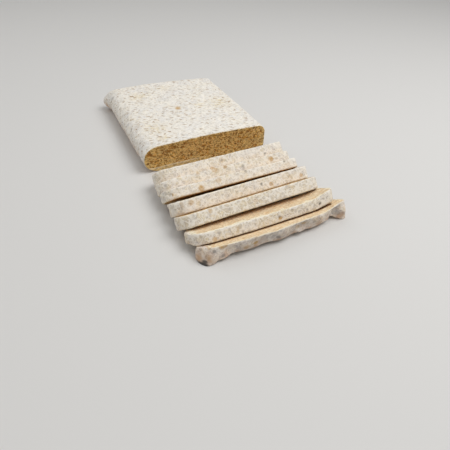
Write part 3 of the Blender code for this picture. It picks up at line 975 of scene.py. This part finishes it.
def shape_heel(mesh):
    """Bend a flat slab with the heel's cut face into the heel, from the cut to the board."""
    x, up, through = rows_of(mesh.attributes["own_place"].data, "vector", 3).T
    _, height, _, tilt, turn, sag, curl = SLICES["slice_6"]
    down = through / WALL_STEPS             # 0 on the cut, 1 on the board
    front = up / HEEL_DEPTH                 # 0 under slice_6, 1 at the front wall
    side = np.minimum(1.0, np.abs(2.0 * x / HEEL_WIDTH))
    on_left = x < 0.0
    left_end, right_end = eased(-x, *LEFT_END), eased(x, *RIGHT_END)
    full = np.where(on_left, eased(side, *LEFT_CORNER), eased(side, *RIGHT_CORNER))

    # The cut face, on slice_6's lower side.
    dent = sum(deep * np.exp(-((x - along) / reach) ** 2) for along, reach, deep in EDGE_DENTS)
    rise = height + HEEL_REACH - HEEL_DEPTH + up - (side ** 2 * HEEL_BOW + dent) * front
    rise = rise - RIGHT_BACK * right_end
    sine, cosine = math.sin(math.radians(tilt)), math.cos(math.radians(tilt))
    cut_y = -rise * cosine - HEEL_GAP * sine
    cut_z = rise * sine - HEEL_GAP * cosine - sag * (1.0 - side ** 2) * rise / height
    cut_z = cut_z + curl * eased(x, *CURL_REACH) * (
        CURL_LEAST + (1.0 - CURL_LEAST) * rise / height)

    # The foot, where the wall meets the board or hangs above it.
    spread = np.where(on_left, LEFT_SPREAD, RIGHT_SPREAD)
    forward = (spread * full - HEEL_TUCK * (1.0 - full)) * front + RIGHT_BACK * right_end
    outward = HEEL_LEAN + np.copysign(HEEL_FLARE * full, x)
    wave = (x - WAVE_START) / WAVE_LENGTH * math.tau
    arch = HEEL_ARCH + WAVE_DEPTH * np.cos(wave + math.pi)
    raised = arch * (1.0 - full) * front

    # The wall between them.
    slide = down ** TUCK_POWER
    push = 1.0 - 1.3 * down + 0.7 * np.sin(down * math.pi)
    turn = math.radians(turn)
    place_x, foot_y = foot_of("slice_6")
    heel_x = x * math.cos(turn) - cut_y * math.sin(turn) + place_x + HEEL_SHIFT
    heel_x = heel_x + outward * slide + (1.0 - down) * LEFT_TUCK * left_end
    heel_x = heel_x + push * RIGHT_PUSH * right_end
    heel_y = x * math.sin(turn) + cut_y * math.cos(turn) + foot_y - forward * slide
    heel_z = cut_z + (raised - cut_z) * down
    on_wall = eased(front, 0.5, 0.95)
    inner = on_wall * np.sin(np.clip(down, 0.0, 1.0) * math.pi) * (
        1.0 - eased(side, 0.6, 0.8))
    heel_y = heel_y - inner * (
        WAVE_DEPTH * np.cos(wave) + RIPPLE_DEPTH * np.sin(x / RIPPLE_LENGTH + 1.0))
    for along, level, radius, lift in LUMPS:
        away = ((x - along) / radius) ** 2 + ((down - level) * WALL_HEIGHT / radius) ** 2
        heel_y = heel_y - lift * np.exp(-away) * eased(front, 0.4, 0.9)
    fold = FOLD_PLACE + (down - 0.5) * FOLD_SLOPE
    folded = eased(x, fold - FOLD_HALF_WIDTH, fold + FOLD_HALF_WIDTH)
    folded = folded * (1.0 - eased(x, *FOLD_END)) * on_wall * eased(down, 0.02, 0.25)
    heel_y = heel_y + FOLD_DEPTH * folded

    places = np.stack((heel_x, heel_y, heel_z), axis=1) * MM
    mesh.vertices.foreach_set("co", places.ravel())
    depth = rows_of(mesh.attributes["depth"].data, "value", 1).ravel()
    depth[down > 0.001] = 0.0
    mesh.attributes["depth"].data.foreach_set("value", depth)
    mesh.update()


def paint_slice_edge_shade(mesh, leaning, edge_up, reach, strength):
    """Painted shade on the cut: dark brown along the front edge of the slice that leans on it,
    where the crevice under that edge lies in shade. The edge is that slice's front face from
    this height up; the painted shade has this reach."""
    own = rows_of(leaning.attributes["own_place"].data, "vector", 3)
    front = (own[:, 1] > edge_up) & (own[:, 2] < 0.3)
    edge, own_up = rows_of(leaning.vertices, "co", 3)[front] / MM, own[front, 1]
    steps = np.round(edge[:, 0])
    order = np.lexsort((own_up, steps))
    edge = edge[order][np.append(np.diff(steps[order]) > 0.0, True)]
    x, y, z = rows_of(mesh.vertices, "co", 3).T / MM
    ahead = np.interp(x, edge[:, 0], edge[:, 1]) - y
    below = np.interp(x, edge[:, 0], edge[:, 2]) - z
    slice_edge_shade_mask = strength * np.clip(1.3 - ahead / reach, 0.0, 1.0) * (below < 6.0)
    slice_edge_shade_mask = slice_edge_shade_mask * (x > edge[0, 0] + 1.0) * (x < edge[-1, 0] - 1.0)
    keep_mark(mesh, "slice_edge_shade", slice_edge_shade_mask)


# The heel's felt is darker and browner than the slices': partly its own colour, partly painted
# shade, as less light falls on the front.
HEEL_RIND = {"Beans": 0.4, "Dashes": 0.15, "Greyness": 0.5, "Cream": 0.42, "Threads": 0.5,
             "Grain": 0.3, "Felt": (0.91, 0.79, 0.66)}
HEEL_MARKS = [              # across the cake, below the cut, radius
    (-52, 1.0, 4.0, "bean", 0.8), (-69, 12.5, 1.9, "spot", 0.9), (-70, 16, 3.4, "spot", 1.0),
    (-65, 0.3, 1.6, "bean", 0.5), (-66, 8.5, 2.0, "bean", 0.4), (-72, 9, 1.8, "bean", 0.3),
    (-61, 3.5, 1.6, "spot", 0.55), (-54, 12, 2.0, "spot", 0.5),
    (-33, 9, 3.0, "bean", 0.6), (-24, 9, 2.4, "bean", 1.0),
    (-3, 10, 2.4, "spot", 0.6), (18, 8, 3.0, "bean", 0.45), (25, 5, 2.4, "bean", 0.8),
    # The spots at 60 and 61 are painted shade on the wall behind the fold, and the wide one
    # over the middle is painted shade along the wall.
    (60, 5, 4.0, "spot", 0.2), (61, 10, 4.0, "spot", 0.25), (-2, 9, 42.0, "spot", 0.19),
]
heel_material = tempeh("heel_tempeh", HEEL_RIND, LIT_PALE_CRUMB, board_bounce=0.7, wavy=2.2)
slab = make("heel_slab", [
    (SLICE_TREE, {"Thickness": WALL_STEPS, "Height": HEEL_DEPTH, "Width": HEEL_WIDTH,
                  "Ease": 0.5, "Left Rim": 8.5, "Spacing": HEEL_SPACING,
                  "Material": heel_material})])
heel_mesh = slab.data
bpy.data.objects.remove(slab, do_unlink=True)
shape_heel(heel_mesh)
heel = make("heel_of_tempeh", [
    (SKIN_TREE, {"Swell": 0.9, "Bean Rise": 0.35, "Fuzz": 0.3, "Crumb Depth": 0.25,
                 "End Lumps": 1.2, "Material": heel_material})], heel_mesh)
keep_marks(heel.data, HEEL_MARKS, reach=14.0, squeeze=WALL_HEIGHT / WALL_STEPS)
# Painted shade in the crevices under slice_6's and slice_5's front edges.
paint_slice_edge_shade(heel.data, slices[-1].data, edge_up=24.0, reach=1.8, strength=1.0)
paint_slice_edge_shade(slices[-1].data, slices[-2].data, edge_up=26.0, reach=1.5, strength=0.1)
stand_in_for(heel, "heel")

# ----------------------------------------------------------
# The place: a plain pale floor, soft studio light from above and a camera that looks down on
# the cake from its front left.

FLOOR_SIZE = 6.0            # from here on sizes are in metres
FLOOR_COLOUR = (0.70, 0.69, 0.67, 1.0)
edge = FLOOR_SIZE / 2
floor_mesh = bpy.data.meshes.new("floor")
floor_mesh.from_pydata([(-edge, -edge, 0), (edge, -edge, 0), (edge, edge, 0),
                        (-edge, edge, 0)], [], [(0, 1, 2, 3)])
floor = bpy.data.objects.new("floor", floor_mesh)
bpy.context.collection.objects.link(floor)
floor_material = bpy.data.materials.new("floor_paper")
floor_material.use_nodes = True
paper = floor_material.node_tree.nodes["Principled BSDF"]
paper.inputs["Base Color"].default_value = FLOOR_COLOUR
paper.inputs["Roughness"].default_value = 0.9
floor_mesh.materials.append(floor_material)

ROOM_LIGHT = 0.30
world = bpy.data.worlds.new("soft room")
bpy.context.scene.world = world
world.use_nodes = True
room = world.node_tree.nodes["Background"]
room.inputs["Color"].default_value = (1.0, 1.0, 1.0, 1.0)
room.inputs["Strength"].default_value = ROOM_LIGHT

LIGHTS = {                  # place, size and power of each soft light
    "key_light": ((0.45, -0.35, 1.05), 0.8, 9.3),
    "back_light": ((-0.3, 0.6, 0.9), 0.8, 2.0),
    "side_light": ((-1.0, -0.15, 0.5), 0.8, 1.2),
}
for name, (place, size, power) in LIGHTS.items():
    lamp = bpy.data.lights.new(name, "AREA")
    lamp.size = size
    lamp.energy = power
    holder = bpy.data.objects.new(name, lamp)
    bpy.context.collection.objects.link(holder)
    holder.location = place
    holder.rotation_mode = "QUATERNION"
    holder.rotation_quaternion = (-Vector(place)).to_track_quat("-Z", "Y")

CAMERA_OFFSET = Vector((-0.1712, -0.3569, 0.2400))  # from the middle of the cake's footprint
AIM_OFFSET = Vector((-0.0325, -0.1151, 0.0))
CAMERA_ROLL = 2.71
LENS = 33.15
FILM_WIDTH = 36.0
middle = (cad_low + cad_high) / 2
middle.z = cad_low.z
camera_data = bpy.data.cameras.new("camera")
camera_data.lens = LENS
camera_data.sensor_width = FILM_WIDTH
camera_data.clip_start = 0.01
camera = bpy.data.objects.new("camera", camera_data)
bpy.context.collection.objects.link(camera)
gaze = (AIM_OFFSET - CAMERA_OFFSET).to_track_quat("-Z", "Y").to_matrix().to_4x4()
roll = Matrix.Rotation(math.radians(CAMERA_ROLL), 4, "Z")
camera.matrix_world = Matrix.Translation(middle + CAMERA_OFFSET) @ gaze @ roll
bpy.context.scene.camera = camera
bpy.context.scene.view_settings.view_transform = "Standard"
